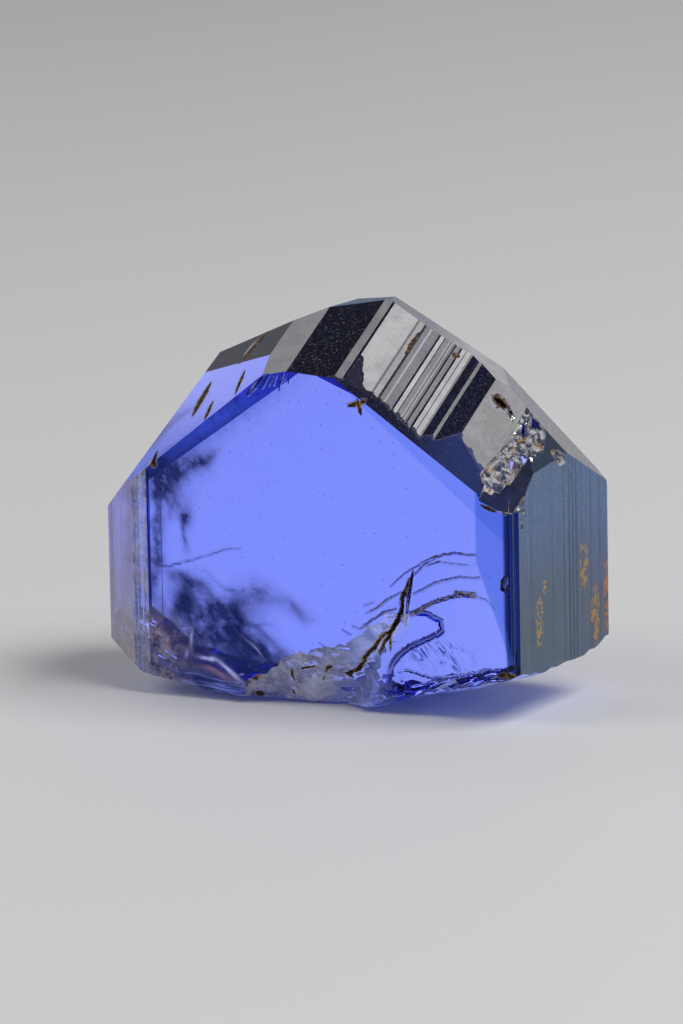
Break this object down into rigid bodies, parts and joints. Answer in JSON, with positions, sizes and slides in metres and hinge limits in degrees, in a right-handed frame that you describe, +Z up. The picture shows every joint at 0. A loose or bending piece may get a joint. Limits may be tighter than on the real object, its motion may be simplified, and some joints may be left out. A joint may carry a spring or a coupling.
{
  "type": "rough tanzanite crystal",
  "caption": "Rough blue-violet crystal: a flattened prism with a stepped chisel-shaped end, striated side faces and a broken underside that it rests on.",
  "frame": {"origin": "centre of the bounding box at the height of the flat resting spot", "axes": "+X along the broad front face to its right end, +Y from the front face through the stone to its back, +Z up along the prism"},
  "size_m": [0.0246, 0.011, 0.0203],
  "materials": {
    "tanzanite": "clear blue-violet crystal: glassy front face, satin striated sides, frosted break surfaces"
  },
  "bodies": {
    "root": {"tanzanite_crystal": "tanzanite"}
  },
  "joints": []
}
